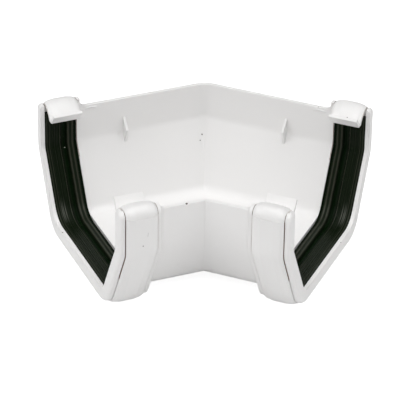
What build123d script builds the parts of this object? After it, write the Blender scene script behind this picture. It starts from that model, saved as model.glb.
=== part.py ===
from build123d import *
import math
import os

# Gutter angle: a bent open trough with a rubber-sealed, strap-clipped socket at each end.
# Millimetres, Z up. Each arm is drawn straight, with s along the run and n across it
# (plus n is the rear wall), then turned by half of the bend. Zero height is the socket floor.

# Bend and socket opening, which takes a 114 mm wide gutter
HALF_BEND = 22.5
OPENING_HALF = 58.0
OPENING_CREASE = 37.1
OPENING_FLOOR_HALF = 38.3
OPENING_FLOOR = 0.0
OPENING_FRONT_R = 7.0
OPENING_REAR_R = 13.5
CREASE_R = 6.0

# Trough between the sockets, stepped out from the opening
TROUGH_SIDE_STEP = 0.9
TROUGH_CREASE_STEP = 0.2
TROUGH_CORNER_STEP = 1.7
TROUGH_FLOOR = 0.5
TROUGH_FRONT_CREASE_R = 40.0
TROUGH_FRONT_R = 11.0
TROUGH_REAR_R = 5.5
TROUGH_WALL = 2.4
RIM_TOP = 58.4
RIM_EDGE_R = 0.6
CORNER_INNER_R = 9.6

# Stations along the run
END_PLANE = 75.1
LIP_LENGTH = 2.4
FLANGE_LENGTH = 3.1
STRAP_WIDTH = 18.6
SHOULDER_LENGTH = 1.9
SEAL_WIDTH = 19.0

# Depths outward from the socket opening
RECESS_DEPTH = 3.0
SLEEVE_WALL = 2.0
FLANGE_DEPTH = 6.6
FLOOR_EXTRA = 1.5
STRAP_PROUD = 0.4
OUTER_R = 15.8
RECESS_FRONT_R = 10.0

# Rolled nose at the top of each wall, shared by the flanges and the strap's cap
NOSE_R = 3.8
NOSE_CENTRE_Z = 57.8
NOSE_REACH = 7.8
REAR_RISE = 1.6
CAP_R = 10.5
NOSE_CLEARANCE = 0.15
FLANGE_EDGE_R = 1.8
COVE_R = 3.1
COVE_SINK = 0.15
COVE_ROOT = 0.4
COVE_STEP = math.pi / 6

# Strap
STRAP_OUTER_GAP = 0.3
STRAP_INNER_GAP = 0.2
CROWN = 1.5
CROWN_SHARES = [(1.0, 0.0), (0.82, 0.58), (0.42, 1.0)]
BEARING_STRIP = 1.6
HOLLOW_DEPTH = 1.2
HOLLOW_SLOPE = 2.5
TAB_ANGLE = 52.0
TAB_LENGTH = 7.2
TAB_THICKNESS = 1.7
TAB_INSET = 1.5

# Turn of each cap past its top, and its tab's root inward and down from the nose centre
FRONT_CAP_ANGLE = 62.0
FRONT_TAB_REACH = 9.5
FRONT_TAB_DROP = 1.4
REAR_CAP_ANGLE = 67.0
REAR_TAB_REACH = 9.8
REAR_TAB_DROP = 2.4

# Seal strip: heights above the recess floor, and where each rib ends as a share of the width
SEAL_TOP = 56.0
SEAL_SIDE_GAP = 0.1
SEAL_FRONT_R = 17.0
SEAL_BAND = 2.5
SEAL_GROOVE = 0.9
SEAL_RIB = 3.0
SEAL_RIB_SHOULDER = 2.7
SEAL_EDGE = 1.6
SEAL_SHARES = [0.48, 0.52, 0.67, 0.71, 0.74, 0.90, 0.94]

# Small features moulded on the rear wall: the fin's corners from the wall face and its crease
FIN_STATION = 25.0
FIN_THICKNESS = 1.4
FIN_CORNERS = [(1.0, 10.4), (-5.3, 2.9), (-2.1, -7.6), (0.1, -2.8), (1.0, 0.2)]
CRESCENT_STATION = 44.8
CRESCENT_LENGTH = 6.8
CRESCENT_ARCH = 0.85
CRESCENT_WIDTH = 0.5
CRESCENT_PROUD = 0.5
CRESCENT_DROP = 1.4

# Derived sizes
TROUGH_HALF = OPENING_HALF + TROUGH_SIDE_STEP
TROUGH_CREASE = OPENING_CREASE + TROUGH_CREASE_STEP
TROUGH_FLOOR_HALF = OPENING_FLOOR_HALF + TROUGH_CORNER_STEP
OPEN_TOP = 1.5 * RIM_TOP
FLANGE_START = END_PLANE - FLANGE_LENGTH
STRAP_START = FLANGE_START - STRAP_WIDTH
SHOULDER_START = STRAP_START - SHOULDER_LENGTH
RECESS_END = END_PLANE - LIP_LENGTH
RECESS_START = RECESS_END - SEAL_WIDTH
CHANNEL_DEPTH = RECESS_DEPTH + SLEEVE_WALL
STRAP_DEPTH = FLANGE_DEPTH + STRAP_PROUD
STRAP_WALL = STRAP_DEPTH - CHANNEL_DEPTH
STRAP_MID = (STRAP_START + STRAP_INNER_GAP + FLANGE_START - STRAP_OUTER_GAP) / 2
STRAP_HALF = (STRAP_WIDTH - STRAP_INNER_GAP - STRAP_OUTER_GAP) / 2
CHANNEL_R = OUTER_R - STRAP_WALL
NOSE_N = OPENING_HALF + FLANGE_DEPTH - NOSE_R
NOSE_TOP = NOSE_CENTRE_Z + NOSE_R
CAP_CENTRE_Z = NOSE_TOP - CAP_R
TAN_HALF = math.tan(math.radians(HALF_BEND))


def grown(half, crease, floor_half, floor, depth):
    """Corner values of a gutter outline moved outward by a depth."""
    slope = math.atan2(crease - floor, half - floor_half)
    new_crease = crease - depth * math.tan((math.pi / 2 - slope) / 2)
    new_floor_half = floor_half + depth * math.tan(slope / 2)
    return half + depth, new_crease, new_floor_half, floor - depth


def opening(depth):
    """Socket opening outline moved outward by a depth."""
    return grown(OPENING_HALF, OPENING_CREASE, OPENING_FLOOR_HALF, OPENING_FLOOR, depth)


def outside(depth):
    """Outside of the socket, which stands out further under the floor than at the walls."""
    half, crease, floor_half, floor = opening(depth)
    return half, crease, floor_half, floor - FLOOR_EXTRA


def trough(depth):
    """Trough inside outline moved outward by a depth."""
    return grown(TROUGH_HALF, TROUGH_CREASE, TROUGH_FLOOR_HALF, TROUGH_FLOOR, depth)


def outline(values, front_top, rear_top, radii):
    """Open outline from the top of the front wall round to the top of the rear wall."""
    half, crease, floor_half, floor = values
    points = [(-half, front_top), (-half, crease), (-floor_half, floor)]
    points += [(floor_half, floor), (half, crease), (half, rear_top)]
    return FilletPolyline(*points, radius=radii)


def trough_radii(depth):
    """Corner radii of the trough outline at a depth outside it, from front to rear."""
    inner = [TROUGH_FRONT_CREASE_R, TROUGH_FRONT_R, TROUGH_REAR_R, CREASE_R]
    return [radius + depth for radius in inner]


def block(edges, start, end):
    """Solid between two stations from closed edges drawn across the run."""
    return extrude(Plane.YZ.offset(start) * make_face(edges), amount=end - start)


def plug(values, radii, start, end):
    """Solid that fills an outline to above the rims."""
    wall = outline(values, OPEN_TOP, OPEN_TOP, radii)
    lid = Line((values[0], OPEN_TOP), (-values[0], OPEN_TOP))
    return block(wall.edges() + lid.edges(), start, end)


def flange_nose(rise):
    """Rolled nose over the rear wall, as far in as the cap lies on it."""
    sweep_angle = math.degrees(math.asin(NOSE_REACH / CAP_R))
    return [
        CenterArc((NOSE_N, NOSE_CENTRE_Z + rise), NOSE_R, 0, 90).edge(),
        CenterArc((NOSE_N, CAP_CENTRE_Z + rise), CAP_R, 90, sweep_angle).edge(),
    ]


def nose_plug(start, end):
    """Solid that fills the flange outline, with the rolled nose at the top of both walls."""
    radii = [CREASE_R + FLANGE_DEPTH, OUTER_R, OUTER_R, CREASE_R + FLANGE_DEPTH]
    wall = outline(outside(FLANGE_DEPTH), NOSE_CENTRE_Z, NOSE_CENTRE_Z + REAR_RISE, radii)
    rear = flange_nose(REAR_RISE)
    front = [edge.mirror(Plane.YZ) for edge in flange_nose(0)]
    lid = Line(rear[1] @ 1, front[1] @ 1)
    return block(wall.edges() + rear + front + lid.edges(), start, end)


def end_flange():
    """Flange at the socket mouth, with its outer end edge rounded over."""
    solid = nose_plug(FLANGE_START, END_PLANE)
    mouth = solid.edges().group_by(Axis.X)[-1]
    lid = max(mouth, key=lambda edge: edge.length if edge.center().Z > OPENING_CREASE else 0)
    return fillet([edge for edge in mouth if edge != lid], FLANGE_EDGE_R)


def sleeve_nose(rise):
    """Rolled top of the sleeve's rear wall, which the strap's cap clears."""
    centre = (NOSE_N, NOSE_CENTRE_Z - NOSE_CLEARANCE + rise)
    wall_r = NOSE_R - STRAP_WALL - NOSE_CLEARANCE
    step = Line((OPENING_HALF + CHANNEL_DEPTH, centre[1]), (NOSE_N + wall_r, centre[1]))
    return [step.edge(), CenterArc(centre, wall_r, 0, 90).edge()]


def sleeve():
    """Wall between the seal recess and the strap channel, rolled over at the top."""
    radii = [CREASE_R + CHANNEL_DEPTH, CHANNEL_R, CHANNEL_R, CREASE_R + CHANNEL_DEPTH]
    step_z = NOSE_CENTRE_Z - NOSE_CLEARANCE
    wall = outline(outside(CHANNEL_DEPTH), step_z, step_z + REAR_RISE, radii)
    rear = sleeve_nose(REAR_RISE)
    front = [edge.mirror(Plane.YZ) for edge in sleeve_nose(0)]
    lid = Line(rear[1] @ 1, front[1] @ 1)
    return block(wall.edges() + rear + front + lid.edges(), SHOULDER_START, END_PLANE - FLANGE_EDGE_R)


def trough_face():
    """Wall section of the trough, with small radii on the rim edges."""
    inner = trough(0)
    outer = trough(TROUGH_WALL)
    points = [(-inner[0], RIM_TOP), (-inner[0], inner[1]), (-inner[2], inner[3])]
    points += [(inner[2], inner[3]), (inner[0], inner[1]), (inner[0], RIM_TOP)]
    points += [(outer[0], RIM_TOP), (outer[0], outer[1]), (outer[2], outer[3])]
    points += [(-outer[2], outer[3]), (-outer[0], outer[1]), (-outer[0], RIM_TOP)]
    rim = [RIM_EDGE_R]
    radii = rim + trough_radii(0) + rim + rim + trough_radii(TROUGH_WALL)[::-1] + rim
    return make_face(FilletPolyline(*points, radius=radii, close=True).edges())


def corner_centre():
    """Station and width of the upright axis that the rear corner turns about."""
    corner_n = TROUGH_HALF - CORNER_INNER_R
    return -corner_n * TAN_HALF, corner_n


def trough_arm():
    """One arm of the trough from the mitre up to its socket, without the round rear corner."""
    corner_s, corner_n = corner_centre()
    reach = 2 * END_PLANE
    far = 4 * TROUGH_HALF
    arm = extrude(Plane.YZ.offset(-reach) * trough_face(), amount=reach + RECESS_START)
    past_corner = Pos(corner_s - far / 2, corner_n + far / 2, 0) * Box(far, far, far)
    past_mitre = Rot(0, 0, HALF_BEND) * Pos(-far / 2, 0, 0) * Box(far, 2 * far, far)
    return arm - past_corner - past_mitre


def rear_corner():
    """Round rear corner of the trough, turned through the whole bend."""
    corner_s, corner_n = corner_centre()
    far = 4 * TROUGH_HALF
    rear_part = trough_face() & (Pos(corner_n + far / 2, 0) * Rectangle(far, far))
    axis = Axis((corner_s, corner_n, 0), (0, 0, 1))
    return revolve(Plane.YZ.offset(corner_s) * rear_part, axis=axis, revolution_arc=2 * HALF_BEND)


def cove():
    """Concave blend from the trough wall up to the shoulder, over the rim as well."""
    half, crease, floor_half, floor = trough(TROUGH_WALL)
    lip = TROUGH_HALF - TROUGH_WALL
    points = [(-lip, RIM_TOP), (-half, RIM_TOP), (-half, crease), (-floor_half, floor)]
    points += [(floor_half, floor), (half, crease), (half, RIM_TOP), (lip, RIM_TOP)]
    radii = [RIM_EDGE_R] + trough_radii(TROUGH_WALL) + [RIM_EDGE_R]
    path = Plane.YZ.offset(SHOULDER_START) * FilletPolyline(*points, radius=radii)
    start = Plane(origin=(SHOULDER_START, -lip, RIM_TOP), x_dir=(1, 0, 0), z_dir=(0, -1, 0))
    low = COVE_R * (1 - math.cos(COVE_STEP))
    far = COVE_R * (1 - math.sin(COVE_STEP))
    points = [(-COVE_R, -COVE_SINK), (-far, low), (-low, far), (0, COVE_R)]
    points += [(COVE_ROOT, COVE_R), (COVE_ROOT, -COVE_ROOT), (-COVE_R, -COVE_ROOT)]
    return sweep(start * make_face(Polyline(*points, close=True).edges()), path=path)


def fin():
    """Thin stop rib on the rear wall."""
    corners = [(TROUGH_HALF + out, TROUGH_CREASE + up) for out, up in FIN_CORNERS]
    outline_edges = Polyline(*corners, close=True).edges()
    start = FIN_STATION - FIN_THICKNESS / 2
    return block(outline_edges, start, start + FIN_THICKNESS)


def crescent():
    """Slight arched ridge just under the rear rim."""
    half = CRESCENT_LENGTH / 2
    radius = (half * half + CRESCENT_ARCH * CRESCENT_ARCH) / (2 * CRESCENT_ARCH)
    top = RIM_TOP - CRESCENT_DROP
    ring = Pos(CRESCENT_STATION, top - radius) * (Circle(radius) - Circle(radius - CRESCENT_WIDTH))
    limit = Pos(CRESCENT_STATION, top) * Rectangle(CRESCENT_LENGTH, 4 * CRESCENT_ARCH)
    middle = TROUGH_WALL / 2
    back = Plane.XZ.offset(-TROUGH_HALF - middle)
    return extrude(back * (ring & limit), amount=middle + CRESCENT_PROUD)


def body_arm():
    """One arm of the moulded body: trough, shoulder, sleeve and end flange."""
    solid = nose_plug(SHOULDER_START, STRAP_START) + sleeve() + end_flange() + cove()
    recess_crease = CREASE_R + RECESS_DEPTH
    recess_radii = [recess_crease, RECESS_FRONT_R, OPENING_REAR_R + RECESS_DEPTH, recess_crease]
    opening_radii = [CREASE_R, OPENING_FRONT_R, OPENING_REAR_R, CREASE_R]
    solid = solid - plug(trough(0), trough_radii(0), 0, RECESS_START)
    solid = solid - plug(opening(RECESS_DEPTH), recess_radii, RECESS_START, RECESS_END)
    solid = solid - plug(opening(0), opening_radii, RECESS_START, END_PLANE + LIP_LENGTH)
    return solid + trough_arm() + fin() + crescent()


def crowned_section():
    """Strap wall section across its width: bearing strips, a hollow between, a crown outside."""
    strip = STRAP_HALF - BEARING_STRIP
    floor = strip - HOLLOW_SLOPE
    crown = [(STRAP_HALF * out, STRAP_WALL + CROWN * up) for out, up in CROWN_SHARES]
    side = [(floor, HOLLOW_DEPTH), (strip, 0), (STRAP_HALF, 0)] + crown
    points = side + [(-across, height) for across, height in side[::-1]]
    return make_face(Polyline(*points, close=True).edges())


def strap_band():
    """The strap's U-shaped band, which hugs the channel round the outside of the socket."""
    radii = [CREASE_R + CHANNEL_DEPTH, CHANNEL_R, CHANNEL_R, CREASE_R + CHANNEL_DEPTH]
    values = outside(CHANNEL_DEPTH)
    path = outline(values, NOSE_CENTRE_Z, NOSE_CENTRE_Z + REAR_RISE, radii)
    start = Plane(origin=(STRAP_MID, -values[0], NOSE_CENTRE_Z), x_dir=(1, 0, 0), z_dir=(0, 0, -1))
    return sweep(start * crowned_section(), path=Plane.YZ.offset(STRAP_MID) * path)


def strap_cap(turn, reach, drop):
    """Rolled cap over the top of the front wall, ending in the upturned finger tab."""
    inner_r = NOSE_R - STRAP_WALL
    roll = CenterArc((-NOSE_N, NOSE_CENTRE_Z), inner_r, 180, -90).edge()
    over_r = CAP_R - STRAP_WALL
    over = CenterArc((-NOSE_N, CAP_CENTRE_Z), over_r, 90, -turn).edge()
    path = Plane.YZ.offset(STRAP_MID) * Wire([roll, over])
    origin = (STRAP_MID, -NOSE_N - inner_r, NOSE_CENTRE_Z)
    start = Plane(origin=origin, x_dir=(-1, 0, 0), z_dir=(0, 0, 1))
    return sweep(start * crowned_section(), path=path) + tab(turn, reach, drop)


def tab(turn, reach, drop):
    """Flat finger tab that rises inward from the end of the cap."""
    angle = math.radians(TAB_ANGLE)
    along = (math.cos(angle), math.sin(angle))
    through = (TAB_THICKNESS * math.sin(angle), -TAB_THICKNESS * math.cos(angle))
    root = (reach - NOSE_N, NOSE_CENTRE_Z - drop)
    tip = (root[0] + TAB_LENGTH * along[0], root[1] + TAB_LENGTH * along[1])
    tip_low = (tip[0] + through[0], tip[1] + through[1])
    root_low = (root[0] + through[0], root[1] + through[1])
    end = math.radians(turn)
    foot_r = CAP_R - STRAP_WALL
    foot = (-NOSE_N + foot_r * math.sin(end), CAP_CENTRE_Z + foot_r * math.cos(end))
    points = [root, tip, tip_low, root_low, foot]
    start = STRAP_START + TAB_INSET
    finish = FLANGE_START - STRAP_OUTER_GAP
    return block(Polyline(*points, close=True).edges(), start, finish)


def strap_arm():
    """Whole retaining strap: band, front cap and rear cap."""
    front = strap_cap(FRONT_CAP_ANGLE, FRONT_TAB_REACH, FRONT_TAB_DROP)
    rear = strap_cap(REAR_CAP_ANGLE, REAR_TAB_REACH, REAR_TAB_DROP).mirror(Plane.XZ)
    return strap_band() + front + Pos(0, 0, REAR_RISE) * rear


def seal_arm():
    """Ribbed rubber strip in the recess of the socket."""
    half = SEAL_WIDTH / 2 - SEAL_SIDE_GAP
    heights = [SEAL_BAND, SEAL_GROOVE, SEAL_GROOVE, SEAL_RIB_SHOULDER]
    heights += [SEAL_RIB, SEAL_RIB, SEAL_EDGE]
    profile = [(0, 0), (0, SEAL_BAND)] + list(zip(SEAL_SHARES, heights)) + [(1, SEAL_EDGE), (1, 0)]
    points = [(half - 2 * half * across, -height) for across, height in profile]
    section = make_face(Polyline(*points, close=True).edges())
    values = opening(RECESS_DEPTH)
    crease_r = CREASE_R + RECESS_DEPTH
    radii = [crease_r, SEAL_FRONT_R, OPENING_REAR_R + RECESS_DEPTH, crease_r]
    path = outline(values, SEAL_TOP, SEAL_TOP + REAR_RISE, radii)
    middle = RECESS_END - SEAL_WIDTH / 2
    start = Plane(origin=(middle, -values[0], SEAL_TOP), x_dir=(1, 0, 0), z_dir=(0, 0, -1))
    return sweep(start * section, path=Plane.YZ.offset(middle) * path)


def right(shape):
    """Turns an arm to the right by half of the bend."""
    return Rot(0, 0, -HALF_BEND) * shape


def left(shape):
    """Mirror image of the right arm."""
    return right(shape).mirror(Plane.YZ)


def placed():
    """All pieces, moved together so the bottom centre of the whole is the origin."""
    arm = body_arm()
    strap = strap_arm()
    seal = seal_arm()
    pieces = {
        "body": right(arm) + right(rear_corner()) + left(arm),
        "strap_left": left(strap),
        "strap_right": right(strap),
        "seal_left": left(seal),
        "seal_right": right(seal),
    }
    boxes = [shape.bounding_box() for shape in pieces.values()]
    front = min(box.min.Y for box in boxes)
    rear = max(box.max.Y for box in boxes)
    bottom = min(box.min.Z for box in boxes)
    shift = Pos(0, -(front + rear) / 2, -bottom)
    return {name: shift * shape for name, shape in pieces.items()}


os.makedirs("parts", exist_ok=True)
for name, shape in placed().items():
    export_step(shape, "parts/" + name + ".step")
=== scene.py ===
import math

import bpy
from mathutils import Matrix, Vector

# Gutter angle in white moulded PVC-U with black rubber seals, on a pale studio floor.
# Places on the object are given in arm coordinates, in millimetres: s runs out along an arm from
# the corner of the centre lines, n runs across it (plus is towards the rear wall), and z is the
# height above the floor of the sockets. Side -1 is the left arm and 1 the right arm.

MM = 0.001
HALF_BEND = math.radians(22.5)
CORNER_Y = 11.254 * MM
SOCKET_FLOOR_Z = 10.0 * MM

# Camera, fitted to the photograph's straight edges
CAMERA_DISTANCE = 1595.67 * MM
CAMERA_DOWN = math.radians(30.485)
CAMERA_TURN = math.radians(0.461)
CAMERA_ROLL = math.radians(0.988)
CAMERA_AIM = Vector((-0.107, -20.379, 35.0)) * MM
FOCAL_PIXELS = 2919.26
CENTRE_PIXEL = (204.44, 193.996)
PHOTO_PIXELS = 400
SENSOR_WIDTH = 36.0
CLIP_RANGE = (0.05, 20.0)

# Studio: softboxes as (name, place, aim, side, power) in metres and watts, and the white surround
SOFTBOXES = [
    ("top_softbox", (0.1, -0.1, 1.3), (0, 0, 0), 1.2, 6.95),
    ("high_front_softbox", (0, -0.8, 1.2), (0, 0, 0.03), 0.9, 3.65),
    ("left_softbox", (-1.2, -0.4, 0.9), (0, 0, 0.03), 0.9, 6.5),
    ("right_softbox", (1.2, -0.4, 0.9), (0, 0, 0.03), 0.9, 3.85),
]
SURROUND_STRENGTH = 0.205
PURE_WHITE = "FFFFFF"
FLOOR_WHITE = "F8F8F8"
FLOOR_SIDE = 8.0
# Share of white that the floor adds for camera rays only, so that it reads as a white page
FLOOR_LIFT = 0.86

# White PVC-U: typical refractive index, roughness of a polished mould, size of its patterns in mm
PVC_IOR = 1.53
PVC_ROUGHNESS = (0.26, 0.34)
PVC_TONES = ("F6F5F4", "F8F7F6")
CLOUD_SIZE = 35.7
RIPPLE_SIZE = 22.2
RIPPLE_STRENGTH, RIPPLE_DEPTH = 0.12, 0.4
EDGE_RADIUS = 0.5

# Open joints beside each strap as (s, half width), drawn only further out in n than the tabs
JOINTS = [(71.85, 0.17), (53.5, 0.12)]
TAB_REACH = 54.5
JOINT_GRIME = "7E5238"
# Over the caps the outer joint is clean: beyond this s and z, and behind this n
CAP_STATION, CAP_HEIGHT, CAP_FRONT = 60.0, 58.0, -62.5
CAP_GRIME = "EEE9E4"

# Crescent ridges on the rear wall: (middle, half width) in s, n and z, then the white painted on
# them as a highlight, and the roughness that is taken off them
CRESCENT = [(44.8, 4.0), (58.5, 0.36), (56.6, 1.6)]
CRESCENT_HIGHLIGHT_WHITE = "FFFFFF"
CRESCENT_POLISH = 0.18

# Small dark moulding specks that the photograph shows: side, s, n, z and radius
SPECKS = [
    (-1, 45.2, -61.3, 58.6, 0.35),
    (-1, 35.9, -61.1, 58.4, 0.60),
    (-1, 62.6, -66.5, 40.9, 0.28),
    (-1, -20.9, 54.2, 28.3, 0.40),
    (-1, -19.2, 52.8, 25.5, 0.28),
    (-1, 52.6, 38.9, 3.9, 0.35),
    (-1, 74.7, 25.3, 0.0, 0.35),
    (1, 75.0, 18.1, 0.0, 0.35),
    (1, 44.0, 59.2, 58.3, 0.20),
    (1, 64.0, 51.3, 60.0, 0.32),
]
SPECK_BROWN = "4A3A2E"

# Faint scratches: side, both ends as (s, n, z), and the half width
SCRATCHES = [
    (-1, (59.7, -66.5, 48.4), (60.0, -66.5, 46.2), 0.30),
    (-1, (35.2, -50.0, 14.4), (37.0, -49.0, 12.2), 0.35),
]
SCRATCH_GREY = "D8D8D6"

# Rubber strip: the s of its outer edge, then the lines along it as (middle, half width, height),
# in mm inward from that edge
STRIP_EDGE = 72.6
STRIP_RIDGES = [
    (1.1, 0.5, 1.0), (2.7, 0.5, 0.8), (9.0, 0.45, 2.4), (13.6, 0.8, 1.3), (16.0, 0.9, 1.0),
]
# the channels also take a near-black colour, painted shade in the grooves
STRIP_CHANNELS = [(0.2, 0.3, 0.5), (8.1, 0.5, 0.3), (11.7, 1.8, 0.9), (17.7, 0.45, 0.9)]
# The lines painted pale as highlights where the strip turns the rear bend, and that bend as
# (middle, half width) in n and in z
STRIP_GLINTS = [
    (1.1, 0.6, 0.5), (4.6, 2.6, 1.0), (9.0, 0.7, 0.7), (13.7, 0.9, 0.6), (16.1, 0.9, 0.6),
]
REAR_BEND = [(39.5, 7.0), (4.0, 9.0)]

# Black EPDM: a dull, dusty extrusion that reflects far less than the moulded plastic
RUBBER_SPECULAR = 0.04
RUBBER_ROUGHNESS = 0.26
# Ridges and lines are painted paler, partly the strip's tone and partly painted sheen; channels
# are painted near-black as painted shade in the grooves
RUBBER_BLACK, RIDGE_TONE_AND_SHEEN, CHANNEL_SHADE_BLACK = "10190D", "383A31", "041704"
# grey of the painted highlights in the rear bend, and the grey of the dust
GLINT_GREY, DUST_GREY = "6A6C64", "2E302B"
RELIEF_STRENGTH, RELIEF_DEPTH = 0.8, 0.3
# Fine extrusion lines: spacing in mm, share in the relief and in the colour, where they are
# painted paler partly as the strip's tone and partly as painted sheen, then the contrast and the
# middle brightness of their painted glint
LINE_SPACING = 2 / 3
LINE_RELIEF, LINE_TONE_AND_SHEEN = 2.2, 1.5
LINE_CONTRAST, LINE_MIDDLE = 3.2, 0.45
NOISE_MIDDLE = 0.5
# Dust: size of its grains in mm, drawn coarser than real so that it shows, and the noise values
# between which it fades in
DUST_SIZE = 2.38
DUST_RANGE = (0.66, 0.90)
# Pale fleck on the left seal: side, s, n, z and radius
FLECK = (-1, 60.8, 58.7, 34.0, 0.27)
FLECK_GREY = "D8DCD2"


def linear(code):
    """sRGB hex colour as linear RGBA."""
    parts = [int(code[i:i + 2], 16) / 255 for i in (0, 2, 4)]
    return [p / 12.92 if p <= 0.04045 else ((p + 0.055) / 1.055) ** 2.4 for p in parts] + [1.0]


def corner_frame(x, y, z):
    """A point given in metres from the corner of the centre lines, in the row frame."""
    return Vector((x, y + CORNER_Y, z + SOCKET_FLOOR_Z))


def arm_point(side, s, n, z):
    """A point on an arm as a place in the row frame."""
    x = s * math.cos(HALF_BEND) + n * math.sin(HALF_BEND)
    y = -s * math.sin(HALF_BEND) + n * math.cos(HALF_BEND)
    return corner_frame(side * x * MM, y * MM, z * MM)


def make_camera():
    """Camera at the photograph's place, with its slight turn, roll and off-centre framing."""
    data = bpy.data.cameras.new("camera")
    camera = bpy.data.objects.new("camera", data)
    bpy.context.scene.collection.objects.link(camera)
    right = Vector((math.cos(CAMERA_TURN), -math.sin(CAMERA_TURN), 0))
    level = Vector((math.sin(CAMERA_TURN), math.cos(CAMERA_TURN), 0))
    forward = level * math.cos(CAMERA_DOWN) - Vector((0, 0, math.sin(CAMERA_DOWN)))
    up = right.cross(forward)
    x_axis = right * math.cos(CAMERA_ROLL) + up * math.sin(CAMERA_ROLL)
    y_axis = up * math.cos(CAMERA_ROLL) - right * math.sin(CAMERA_ROLL)
    turn = Matrix((x_axis, y_axis, -forward)).transposed()
    place = corner_frame(*CAMERA_AIM) - forward * CAMERA_DISTANCE
    camera.matrix_world = Matrix.Translation(place) @ turn.to_4x4()
    data.sensor_width = SENSOR_WIDTH
    data.lens = FOCAL_PIXELS * SENSOR_WIDTH / PHOTO_PIXELS
    data.shift_x = (PHOTO_PIXELS / 2 - CENTRE_PIXEL[0]) / PHOTO_PIXELS
    data.shift_y = (CENTRE_PIXEL[1] - PHOTO_PIXELS / 2) / PHOTO_PIXELS
    data.clip_start, data.clip_end = CLIP_RANGE
    bpy.context.scene.camera = camera


def area_light(name, place, aim, side, power):
    """White square softbox pointed at a place, itself unseen by the camera."""
    data = bpy.data.lights.new(name, "AREA")
    data.shape, data.size, data.energy = "SQUARE", side, power
    light = bpy.data.objects.new(name, data)
    bpy.context.scene.collection.objects.link(light)
    light.location = place
    light.rotation_euler = (Vector(aim) - Vector(place)).to_track_quat("-Z", "Y").to_euler()
    light.visible_camera = False


def node(tree, kind, inputs=(), output=0, **settings):
    """Adds a shader node with its settings and gives back one of its outputs.

    Inputs are a list in order, or a dict by name or number. A socket is linked, a hex code is set
    as its linear colour, and anything else is set as it is.
    """
    made = tree.nodes.new("ShaderNode" + kind)
    for key, value in settings.items():
        setattr(made, key, value)
    for key, value in dict(inputs if isinstance(inputs, dict) else enumerate(inputs)).items():
        if isinstance(value, bpy.types.NodeSocket):
            tree.links.new(value, made.inputs[key])
        else:
            made.inputs[key].default_value = linear(value) if isinstance(value, str) else value
    return made.outputs[output] if made.outputs else None


def product(tree, masks):
    """All the masks multiplied together."""
    total = masks[0]
    for mask in masks[1:]:
        total = node(tree, "Math", [total, mask], operation="MULTIPLY")
    return total


def painted(tree, colour, coats):
    """A colour with coats laid over it in turn; each (mask, colour) covers where its mask is 1."""
    for mask, coat in coats:
        colour = node(tree, "Mix", {0: mask, 6: colour, 7: coat}, 2, data_type="RGBA")
    return colour


def beyond(tree, value, limit):
    """1 where a length is more than a limit in mm, otherwise 0."""
    return node(tree, "Math", [value, limit * MM], operation="GREATER_THAN")


def distance(tree, value, middle):
    """How far a length is from a middle in mm."""
    offset = node(tree, "Math", [value, middle * MM], operation="SUBTRACT")
    return node(tree, "Math", [offset], operation="ABSOLUTE")


def within(tree, value, middle, half_width):
    """1 where a length is within a half width of a middle, both in mm, otherwise 0."""
    apart = distance(tree, value, middle)
    return node(tree, "Math", [apart, half_width * MM], operation="LESS_THAN")


def band(tree, value, middle, half_width):
    """1 at a middle, falling smoothly to 0 at a half width from it, both in mm."""
    fade = {"Value": distance(tree, value, middle), "From Max": half_width * MM,
            "To Min": 1.0, "To Max": 0.0}
    return node(tree, "MapRange", fade, interpolation_type="SMOOTHSTEP")


def bands(tree, value, rows):
    """Sum of several bands, each (middle, half width, height)."""
    total = 0.0
    for middle, half_width, height in rows:
        one = band(tree, value, middle, half_width)
        total = node(tree, "Math", [one, height, total], operation="MULTIPLY_ADD")
    return total


def near_point(tree, place, centre, radius):
    """1 inside a small ball with a radius in mm, otherwise 0."""
    apart = node(tree, "VectorMath", [place, centre], "Value", operation="DISTANCE")
    return node(tree, "Math", [apart, radius * MM], operation="LESS_THAN")


def near_line(tree, place, start, end, radius):
    """1 on the line from start to end, falling to 0 at a radius in mm from it."""
    along = end - start
    offset = node(tree, "VectorMath", [place, start], operation="SUBTRACT")
    gradient = along / along.length_squared
    reach = node(tree, "VectorMath", [offset, gradient], "Value", operation="DOT_PRODUCT")
    share = node(tree, "Math", [reach, 1.0], operation="MULTIPLY", use_clamp=True)
    foot = node(tree, "VectorMath", {0: along, "Scale": share}, operation="SCALE")
    apart = node(tree, "VectorMath", [offset, foot], "Value", operation="DISTANCE")
    return band(tree, apart, 0.0, radius)


def arm_coordinates(tree, place):
    """Arm coordinates s, n and z of a place, in metres, the same on both arms."""
    x, y, z = (node(tree, "SeparateXYZ", [place], axis) for axis in range(3))
    out = node(tree, "Math", [x], operation="ABSOLUTE")
    back = node(tree, "Math", [y, CORNER_Y], operation="SUBTRACT")
    run = node(tree, "Math", [out, math.cos(HALF_BEND)], operation="MULTIPLY")
    s = node(tree, "Math", [back, -math.sin(HALF_BEND), run], operation="MULTIPLY_ADD")
    aside = node(tree, "Math", [out, math.sin(HALF_BEND)], operation="MULTIPLY")
    n = node(tree, "Math", [back, math.cos(HALF_BEND), aside], operation="MULTIPLY_ADD")
    return s, n, node(tree, "Math", [z, SOCKET_FLOOR_Z], operation="SUBTRACT")


def empty_material(name):
    """Material with an empty node tree; returns (material, tree)."""
    material = bpy.data.materials.new(name)
    material.use_nodes = True
    material.node_tree.nodes.clear()
    return material, material.node_tree


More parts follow.
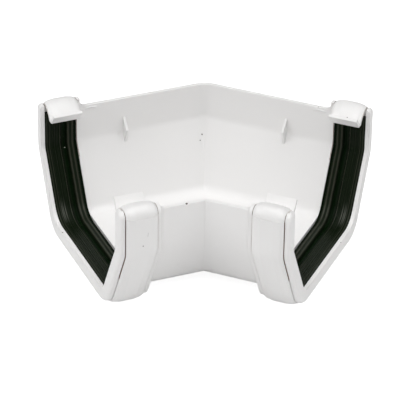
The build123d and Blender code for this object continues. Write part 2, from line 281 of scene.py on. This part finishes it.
def white_pvc():
    """White injection-moulded PVC-U: clean gloss, a faint flow ripple and grime in the joints."""
    material, tree = empty_material("white_injection_moulded_pvc_u")
    place = node(tree, "TexCoord", output="Object")
    station, across, height = arm_coordinates(tree, place)

    # faint cloudiness of the white, a few centimetres across
    cloud_scale = 1 / (CLOUD_SIZE * MM)
    cloud = node(tree, "TexNoise", {"Vector": place, "Scale": cloud_scale, "Detail": 2.0})
    white = painted(tree, PVC_TONES[0], [(cloud, PVC_TONES[1])])

    # brown grime that draws the narrow open joints beside each strap
    in_joint = 0.0
    for joint in JOINTS:
        beside = within(tree, station, *joint)
        in_joint = node(tree, "Math", [beside, in_joint], operation="MAXIMUM")
    outer_side = beyond(tree, node(tree, "Math", [across], operation="ABSOLUTE"), TAB_REACH)
    on_cap = product(tree, [beyond(tree, height, CAP_HEIGHT), beyond(tree, across, CAP_FRONT),
                            beyond(tree, station, CAP_STATION)])
    grime = painted(tree, JOINT_GRIME, [(on_cap, CAP_GRIME)])
    coats = [(product(tree, [in_joint, outer_side]), grime)]

    # single dark specks and faint scratches
    for side, s, n, z, radius in SPECKS:
        coats.append((near_point(tree, place, arm_point(side, s, n, z), radius), SPECK_BROWN))
    for side, start, end, radius in SCRATCHES:
        ends = arm_point(side, *start), arm_point(side, *end)
        coats.append((near_line(tree, place, *ends, radius), SCRATCH_GREY))

    # the crescent ridges are painted whiter than the wall as a painted highlight, and made
    # glossier
    crescent = product(tree, [within(tree, value, *reach)
                              for value, reach in zip((station, across, height), CRESCENT)])
    coats.append((crescent, CRESCENT_HIGHLIGHT_WHITE))

    # slight variation of the gloss over the moulding
    gloss = node(tree, "MapRange", {"Value": cloud, "To Min": PVC_ROUGHNESS[0],
                                    "To Max": PVC_ROUGHNESS[1]})
    roughness = node(tree, "Math", [crescent, -CRESCENT_POLISH, gloss], operation="MULTIPLY_ADD")

    # softly rounded moulded edges, which catch thin light lines
    edge = node(tree, "Bevel", {"Radius": EDGE_RADIUS * MM}, samples=4)
    # shallow ripple of the moulded wall, felt only in the highlights
    ripple_scale = 1 / (RIPPLE_SIZE * MM)
    ripple = node(tree, "TexNoise", {"Vector": place, "Scale": ripple_scale, "Detail": 1.0})
    bump = node(tree, "Bump", {"Height": ripple, "Normal": edge, "Strength": RIPPLE_STRENGTH,
                               "Distance": RIPPLE_DEPTH * MM})

    surface = node(tree, "BsdfPrincipled", {"Base Color": painted(tree, white, coats),
                                            "Roughness": roughness, "Normal": bump,
                                            "IOR": PVC_IOR})
    node(tree, "OutputMaterial", {"Surface": surface})
    return material


def black_rubber():
    """Black EPDM extrusion: greenish black, with ridges painted paler as tone and painted sheen,
    channels painted dark as painted shade, and painted glints in the rear bend.
    """
    material, tree = empty_material("black_extruded_epdm_rubber")
    place = node(tree, "TexCoord", output="Object")
    station, across, height = arm_coordinates(tree, place)
    inward = node(tree, "Math", [STRIP_EDGE * MM, station], operation="SUBTRACT")
    ridge = bands(tree, inward, STRIP_RIDGES)
    channel = bands(tree, inward, STRIP_CHANNELS)
    # the channels painted near-black as painted shade in the grooves
    channel_shade = node(tree, "Math", [channel, 0.0], operation="MAXIMUM", use_clamp=True)

    # fine extrusion lines, which give the strip its streaks in the relief and, in the colour,
    # partly as tone and partly as painted sheen
    run = node(tree, "CombineXYZ", [station])
    line_scale = 1 / (LINE_SPACING * MM)
    fine = node(tree, "TexNoise", {"Vector": run, "Scale": line_scale, "Detail": 1.0})
    lines = node(tree, "Math", [fine, NOISE_MIDDLE], operation="SUBTRACT")
    # ridges and lines painted paler, partly as the strip's tone and partly as painted sheen
    ridge_tone_and_sheen = node(tree, "Math", [lines, LINE_TONE_AND_SHEEN, ridge], operation="MULTIPLY_ADD",
                  use_clamp=True)

    # painted highlights where the strip turns the rear bend, line by line
    highlight_lines = node(tree, "Math", [lines, LINE_CONTRAST, LINE_MIDDLE],
                      operation="MULTIPLY_ADD", use_clamp=True)
    in_bend = [band(tree, value, *reach) for value, reach in zip((across, height), REAR_BEND)]
    bend_highlight = product(tree, [highlight_lines, *in_bend])
    glint = node(tree, "Math", [bend_highlight, bands(tree, inward, STRIP_GLINTS)],
                 operation="MULTIPLY", use_clamp=True)

    # thin pale dust that breaks up the lines, and one pale fleck
    dust_scale = 1 / (DUST_SIZE * MM)
    grains = node(tree, "TexNoise", {"Vector": place, "Scale": dust_scale, "Detail": 4.0})
    dust = node(tree, "MapRange", {"Value": grains, "From Min": DUST_RANGE[0],
                                   "From Max": DUST_RANGE[1]})
    side, s, n, z, radius = FLECK
    fleck = near_point(tree, place, arm_point(side, s, n, z), radius)
    # colour: ridges and lines painted paler as tone and painted sheen, channels painted dark as
    # painted shade, painted highlights in the rear bend, then dust and the fleck
    colour = painted(tree, RUBBER_BLACK, [(ridge_tone_and_sheen, RIDGE_TONE_AND_SHEEN), (channel_shade, CHANNEL_SHADE_BLACK),
                                          (glint, GLINT_GREY), (dust, DUST_GREY),
                                          (fleck, FLECK_GREY)])

    # slight relief that makes ridges, channels and lines catch the light
    depth = node(tree, "Math", [ridge, channel], operation="SUBTRACT")
    relief = node(tree, "Math", [lines, LINE_RELIEF, depth], operation="MULTIPLY_ADD")
    bump = node(tree, "Bump", {"Height": relief, "Strength": RELIEF_STRENGTH,
                               "Distance": RELIEF_DEPTH * MM})
    surface = node(tree, "BsdfPrincipled", {"Base Color": colour, "Normal": bump,
                                            "Roughness": RUBBER_ROUGHNESS,
                                            "Specular IOR Level": RUBBER_SPECULAR})
    node(tree, "OutputMaterial", {"Surface": surface})
    return material


def pale_floor():
    """Seamless white floor that keeps a soft shadow and reads as a white page to the camera."""
    bpy.ops.mesh.primitive_plane_add(size=FLOOR_SIDE, location=(0, 0, 0))
    floor = bpy.context.object
    floor.name = "studio_floor"
    material, tree = empty_material("white_studio_floor")
    camera_ray = node(tree, "LightPath", output="Is Camera Ray")
    lift = node(tree, "Math", [camera_ray, FLOOR_LIFT], operation="MULTIPLY")
    matt = node(tree, "BsdfDiffuse", {"Color": FLOOR_WHITE})
    glow = node(tree, "Emission", {"Color": PURE_WHITE, "Strength": lift})
    node(tree, "OutputMaterial", {"Surface": node(tree, "AddShader", [matt, glow])})
    floor.data.materials.append(material)


def studio():
    """White surround and large softboxes, brightest from above."""
    world = bpy.data.worlds.new("white_surround")
    bpy.context.scene.world = world
    world.use_nodes = True
    background = world.node_tree.nodes["Background"]
    background.inputs["Color"].default_value = linear(PURE_WHITE)
    background.inputs["Strength"].default_value = SURROUND_STRENGTH
    for softbox in SOFTBOXES:
        area_light(*softbox)
    bpy.context.scene.view_settings.view_transform = "Standard"


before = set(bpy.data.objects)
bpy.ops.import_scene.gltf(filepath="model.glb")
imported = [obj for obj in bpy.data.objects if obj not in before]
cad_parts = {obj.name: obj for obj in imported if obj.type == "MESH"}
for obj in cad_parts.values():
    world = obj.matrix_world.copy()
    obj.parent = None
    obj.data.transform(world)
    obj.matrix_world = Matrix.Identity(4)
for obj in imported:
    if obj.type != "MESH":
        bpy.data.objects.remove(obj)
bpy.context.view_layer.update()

make_camera()
studio()
pale_floor()

plastic, rubber = white_pvc(), black_rubber()
for name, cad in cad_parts.items():
    cad.data.materials.clear()
    cad.data.materials.append(rubber if name.startswith("seal") else plastic)
